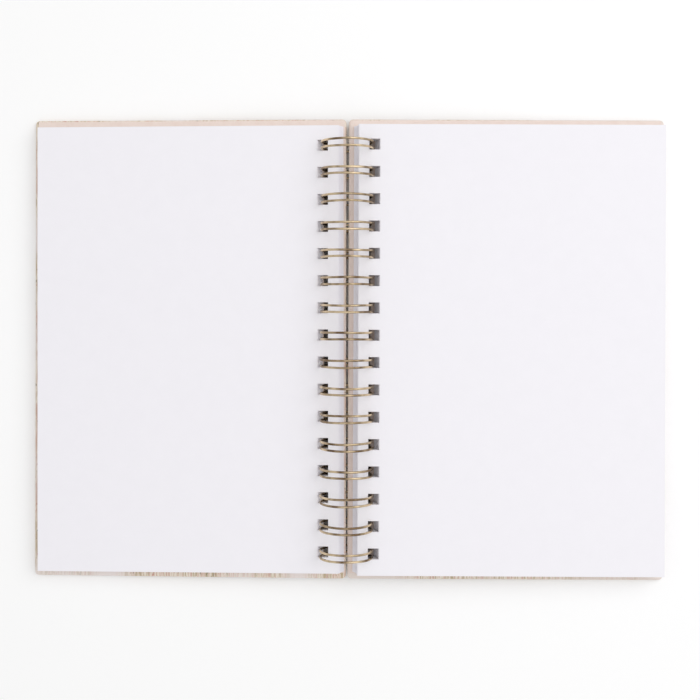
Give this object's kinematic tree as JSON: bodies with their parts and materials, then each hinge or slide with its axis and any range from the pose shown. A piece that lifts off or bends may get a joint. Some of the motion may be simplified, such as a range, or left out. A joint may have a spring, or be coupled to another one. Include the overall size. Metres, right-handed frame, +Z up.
{
  "type": "sketchbook",
  "caption": "Hard-cover sketchbook bound with a comb of twin wire loops through square punched holes, lying open flat on blank drawing leaves.",
  "frame": {"origin": "on the table, below the middle of the spine: the middle of the object's footprint", "axes": "+X across the open spread towards the back cover's fore-edge, +Y along the spine towards the head of the pages, +Z up from the table"},
  "size_m": [0.2986, 0.2174, 0.025],
  "materials": {
    "wire": "antique brass plated steel wire, satin",
    "greyboard": "raw grey binder's board, matt",
    "cover_print": "printed covering paper with a pale grained pattern, matt laminate",
    "endpaper": "pink-beige uncoated lining paper",
    "drawing_paper": "smooth white uncoated drawing paper"
  },
  "bodies": {
    "wire_spine": {"twin_loop_wire": "wire"},
    "front_cover": {"front_cover_board": "greyboard", "front_cover_wrap": "cover_print", "front_endpaper": "endpaper"},
    "back_cover": {"back_cover_board": "greyboard", "back_cover_wrap": "cover_print", "back_endpaper": "endpaper"},
    "leaf_01": {"leaf_01": "drawing_paper"},
    "leaf_02": {"leaf_02": "drawing_paper"},
    "leaf_03": {"leaf_03": "drawing_paper"},
    "leaf_04": {"leaf_04": "drawing_paper"},
    "leaf_05": {"leaf_05": "drawing_paper"},
    "leaf_06": {"leaf_06": "drawing_paper"},
    "leaf_07": {"leaf_07": "drawing_paper"},
    "leaf_08": {"leaf_08": "drawing_paper"},
    "leaf_09": {"leaf_09": "drawing_paper"},
    "leaf_10": {"leaf_10": "drawing_paper"},
    "leaf_11": {"leaf_11": "drawing_paper"},
    "leaf_12": {"leaf_12": "drawing_paper"},
    "leaf_13": {"leaf_13": "drawing_paper"},
    "leaf_14": {"leaf_14": "drawing_paper"},
    "leaf_15": {"leaf_15": "drawing_paper"},
    "leaf_16": {"leaf_16": "drawing_paper"},
    "leaf_17": {"leaf_17": "drawing_paper"},
    "leaf_18": {"leaf_18": "drawing_paper"},
    "leaf_19": {"leaf_19": "drawing_paper"},
    "leaf_20": {"leaf_20": "drawing_paper"},
    "leaf_21": {"leaf_21": "drawing_paper"},
    "leaf_22": {"leaf_22": "drawing_paper"},
    "leaf_23": {"leaf_23": "drawing_paper"},
    "leaf_24": {"leaf_24": "drawing_paper"},
    "leaf_25": {"leaf_25": "drawing_paper"},
    "leaf_26": {"leaf_26": "drawing_paper"},
    "leaf_27": {"leaf_27": "drawing_paper"},
    "leaf_28": {"leaf_28": "drawing_paper"},
    "leaf_29": {"leaf_29": "drawing_paper"},
    "leaf_30": {"leaf_30": "drawing_paper"},
    "leaf_31": {"leaf_31": "drawing_paper"},
    "leaf_32": {"leaf_32": "drawing_paper"},
    "leaf_33": {"leaf_33": "drawing_paper"},
    "leaf_34": {"leaf_34": "drawing_paper"},
    "leaf_35": {"leaf_35": "drawing_paper"},
    "leaf_36": {"leaf_36": "drawing_paper"},
    "leaf_37": {"leaf_37": "drawing_paper"},
    "leaf_38": {"leaf_38": "drawing_paper"},
    "leaf_39": {"leaf_39": "drawing_paper"},
    "leaf_40": {"leaf_40": "drawing_paper"},
    "leaf_41": {"leaf_41": "drawing_paper"},
    "leaf_42": {"leaf_42": "drawing_paper"},
    "leaf_43": {"leaf_43": "drawing_paper"},
    "leaf_44": {"leaf_44": "drawing_paper"},
    "leaf_45": {"leaf_45": "drawing_paper"},
    "leaf_46": {"leaf_46": "drawing_paper"},
    "leaf_47": {"leaf_47": "drawing_paper"},
    "leaf_48": {"leaf_48": "drawing_paper"},
    "leaf_49": {"leaf_49": "drawing_paper"},
    "leaf_50": {"leaf_50": "drawing_paper"}
  },
  "joints": [
    {"name": "front_cover_turn", "type": "hinge", "parent": "wire_spine", "child": "front_cover", "pos_m": [0, 0, 0.0125], "axis": [0, 1, 0], "range_deg": [0, 182.4]},
    {"name": "back_cover_turn", "type": "hinge", "parent": "wire_spine", "child": "back_cover", "pos_m": [0, 0, 0.0125], "axis": [0, -1, 0], "range_deg": [0, 180]},
    {"name": "leaf_18_turn", "type": "hinge", "parent": "leaf_17", "child": "leaf_18", "pos_m": [0, 0, 0.0125], "axis": [0, 1, 0], "range_deg": [0, 180]},
    {"name": "leaf_19_turn", "type": "hinge", "parent": "leaf_20", "child": "leaf_19", "pos_m": [0, 0, 0.0125], "axis": [0, -1, 0], "range_deg": [0, 180]},
    {"name": "leaf_17_turn", "type": "hinge", "parent": "leaf_16", "child": "leaf_17", "pos_m": [0, 0, 0.0125], "axis": [0, 1, 0], "range_deg": [0, 180]},
    {"name": "leaf_20_turn", "type": "hinge", "parent": "leaf_21", "child": "leaf_20", "pos_m": [0, 0, 0.0125], "axis": [0, -1, 0], "range_deg": [0, 180]},
    {"name": "leaf_16_turn", "type": "hinge", "parent": "leaf_15", "child": "leaf_16", "pos_m": [0, 0, 0.0125], "axis": [0, 1, 0], "range_deg": [0, 180]},
    {"name": "leaf_21_turn", "type": "hinge", "parent": "leaf_22", "child": "leaf_21", "pos_m": [0, 0, 0.0125], "axis": [0, -1, 0], "range_deg": [0, 180]},
    {"name": "leaf_15_turn", "type": "hinge", "parent": "leaf_14", "child": "leaf_15", "pos_m": [0, 0, 0.0125], "axis": [0, 1, 0], "range_deg": [0, 180]},
    {"name": "leaf_22_turn", "type": "hinge", "parent": "leaf_23", "child": "leaf_22", "pos_m": [0, 0, 0.0125], "axis": [0, -1, 0], "range_deg": [0, 180]},
    {"name": "leaf_14_turn", "type": "hinge", "parent": "leaf_13", "child": "leaf_14", "pos_m": [0, 0, 0.0125], "axis": [0, 1, 0], "range_deg": [0, 180]},
    {"name": "leaf_23_turn", "type": "hinge", "parent": "leaf_24", "child": "leaf_23", "pos_m": [0, 0, 0.0125], "axis": [0, -1, 0], "range_deg": [0, 180]},
    {"name": "leaf_13_turn", "type": "hinge", "parent": "leaf_12", "child": "leaf_13", "pos_m": [0, 0, 0.0125], "axis": [0, 1, 0], "range_deg": [0, 180]},
    {"name": "leaf_24_turn", "type": "hinge", "parent": "leaf_25", "child": "leaf_24", "pos_m": [0, 0, 0.0125], "axis": [0, -1, 0], "range_deg": [0, 180]},
    {"name": "leaf_12_turn", "type": "hinge", "parent": "leaf_11", "child": "leaf_12", "pos_m": [0, 0, 0.0125], "axis": [0, 1, 0], "range_deg": [0, 180]},
    {"name": "leaf_25_turn", "type": "hinge", "parent": "leaf_26", "child": "leaf_25", "pos_m": [0, 0, 0.0125], "axis": [0, -1, 0], "range_deg": [0, 180]},
    {"name": "leaf_11_turn", "type": "hinge", "parent": "leaf_10", "child": "leaf_11", "pos_m": [0, 0, 0.0125], "axis": [0, 1, 0], "range_deg": [0, 180]},
    {"name": "leaf_26_turn", "type": "hinge", "parent": "leaf_27", "child": "leaf_26", "pos_m": [0, 0, 0.0125], "axis": [0, -1, 0], "range_deg": [0, 180]},
    {"name": "leaf_10_turn", "type": "hinge", "parent": "leaf_09", "child": "leaf_10", "pos_m": [0, 0, 0.0125], "axis": [0, 1, 0], "range_deg": [0, 180]},
    {"name": "leaf_27_turn", "type": "hinge", "parent": "leaf_28", "child": "leaf_27", "pos_m": [0, 0, 0.0125], "axis": [0, -1, 0], "range_deg": [0, 180]},
    {"name": "leaf_09_turn", "type": "hinge", "parent": "leaf_08", "child": "leaf_09", "pos_m": [0, 0, 0.0125], "axis": [0, 1, 0], "range_deg": [0, 180]},
    {"name": "leaf_28_turn", "type": "hinge", "parent": "leaf_29", "child": "leaf_28", "pos_m": [0, 0, 0.0125], "axis": [0, -1, 0], "range_deg": [0, 180]},
    {"name": "leaf_08_turn", "type": "hinge", "parent": "leaf_07", "child": "leaf_08", "pos_m": [0, 0, 0.0125], "axis": [0, 1, 0], "range_deg": [0, 180]},
    {"name": "leaf_29_turn", "type": "hinge", "parent": "leaf_30", "child": "leaf_29", "pos_m": [0, 0, 0.0125], "axis": [0, -1, 0], "range_deg": [0, 180]},
    {"name": "leaf_07_turn", "type": "hinge", "parent": "leaf_06", "child": "leaf_07", "pos_m": [0, 0, 0.0125], "axis": [0, 1, 0], "range_deg": [0, 180]},
    {"name": "leaf_30_turn", "type": "hinge", "parent": "leaf_31", "child": "leaf_30", "pos_m": [0, 0, 0.0125], "axis": [0, -1, 0], "range_deg": [0, 180]},
    {"name": "leaf_06_turn", "type": "hinge", "parent": "leaf_05", "child": "leaf_06", "pos_m": [0, 0, 0.0125], "axis": [0, 1, 0], "range_deg": [0, 180]},
    {"name": "leaf_31_turn", "type": "hinge", "parent": "leaf_32", "child": "leaf_31", "pos_m": [0, 0, 0.0125], "axis": [0, -1, 0], "range_deg": [0, 180]},
    {"name": "leaf_05_turn", "type": "hinge", "parent": "leaf_04", "child": "leaf_05", "pos_m": [0, 0, 0.0125], "axis": [0, 1, 0], "range_deg": [0, 180]},
    {"name": "leaf_32_turn", "type": "hinge", "parent": "leaf_33", "child": "leaf_32", "pos_m": [0, 0, 0.0125], "axis": [0, -1, 0], "range_deg": [0, 180]},
    {"name": "leaf_04_turn", "type": "hinge", "parent": "leaf_03", "child": "leaf_04", "pos_m": [0, 0, 0.0125], "axis": [0, 1, 0], "range_deg": [0, 180]},
    {"name": "leaf_33_turn", "type": "hinge", "parent": "leaf_34", "child": "leaf_33", "pos_m": [0, 0, 0.0125], "axis": [0, -1, 0], "range_deg": [0, 180]},
    {"name": "leaf_03_turn", "type": "hinge", "parent": "leaf_02", "child": "leaf_03", "pos_m": [0, 0, 0.0125], "axis": [0, 1, 0], "range_deg": [0, 180]},
    {"name": "leaf_34_turn", "type": "hinge", "parent": "leaf_35", "child": "leaf_34", "pos_m": [0, 0, 0.0125], "axis": [0, -1, 0], "range_deg": [0, 180]},
    {"name": "leaf_02_turn", "type": "hinge", "parent": "leaf_01", "child": "leaf_02", "pos_m": [0, 0, 0.0125], "axis": [0, 1, 0], "range_deg": [0, 180]},
    {"name": "leaf_35_turn", "type": "hinge", "parent": "leaf_36", "child": "leaf_35", "pos_m": [0, 0, 0.0125], "axis": [0, -1, 0], "range_deg": [0, 180]},
    {"name": "leaf_01_turn", "type": "hinge", "parent": "front_cover", "child": "leaf_01", "pos_m": [0, 0, 0.0125], "axis": [0, 1, 0], "range_deg": [0, 180]},
    {"name": "leaf_36_turn", "type": "hinge", "parent": "leaf_37", "child": "leaf_36", "pos_m": [0, 0, 0.0125], "axis": [0, -1, 0], "range_deg": [0, 180]},
    {"name": "leaf_37_turn", "type": "hinge", "parent": "leaf_38", "child": "leaf_37", "pos_m": [0, 0, 0.0125], "axis": [0, -1, 0], "range_deg": [0, 180]},
    {"name": "leaf_38_turn", "type": "hinge", "parent": "leaf_39", "child": "leaf_38", "pos_m": [0, 0, 0.0125], "axis": [0, -1, 0], "range_deg": [0, 180]},
    {"name": "leaf_39_turn", "type": "hinge", "parent": "leaf_40", "child": "leaf_39", "pos_m": [0, 0, 0.0125], "axis": [0, -1, 0], "range_deg": [0, 180]},
    {"name": "leaf_40_turn", "type": "hinge", "parent": "leaf_41", "child": "leaf_40", "pos_m": [0, 0, 0.0125], "axis": [0, -1, 0], "range_deg": [0, 180]},
    {"name": "leaf_41_turn", "type": "hinge", "parent": "leaf_42", "child": "leaf_41", "pos_m": [0, 0, 0.0125], "axis": [0, -1, 0], "range_deg": [0, 180]},
    {"name": "leaf_42_turn", "type": "hinge", "parent": "leaf_43", "child": "leaf_42", "pos_m": [0, 0, 0.0125], "axis": [0, -1, 0], "range_deg": [0, 180]},
    {"name": "leaf_43_turn", "type": "hinge", "parent": "leaf_44", "child": "leaf_43", "pos_m": [0, 0, 0.0125], "axis": [0, -1, 0], "range_deg": [0, 180]},
    {"name": "leaf_44_turn", "type": "hinge", "parent": "leaf_45", "child": "leaf_44", "pos_m": [0, 0, 0.0125], "axis": [0, -1, 0], "range_deg": [0, 180]},
    {"name": "leaf_45_turn", "type": "hinge", "parent": "leaf_46", "child": "leaf_45", "pos_m": [0, 0, 0.0125], "axis": [0, -1, 0], "range_deg": [0, 180]},
    {"name": "leaf_46_turn", "type": "hinge", "parent": "leaf_47", "child": "leaf_46", "pos_m": [0, 0, 0.0125], "axis": [0, -1, 0], "range_deg": [0, 180]},
    {"name": "leaf_47_turn", "type": "hinge", "parent": "leaf_48", "child": "leaf_47", "pos_m": [0, 0, 0.0125], "axis": [0, -1, 0], "range_deg": [0, 180]},
    {"name": "leaf_48_turn", "type": "hinge", "parent": "leaf_49", "child": "leaf_48", "pos_m": [0, 0, 0.0125], "axis": [0, -1, 0], "range_deg": [0, 180]},
    {"name": "leaf_49_turn", "type": "hinge", "parent": "leaf_50", "child": "leaf_49", "pos_m": [0, 0, 0.0125], "axis": [0, -1, 0], "range_deg": [0, 180]},
    {"name": "leaf_50_turn", "type": "hinge", "parent": "back_cover", "child": "leaf_50", "pos_m": [0, 0, 0.0125], "axis": [0, -1, 0], "range_deg": [0, 180]}
  ]
}
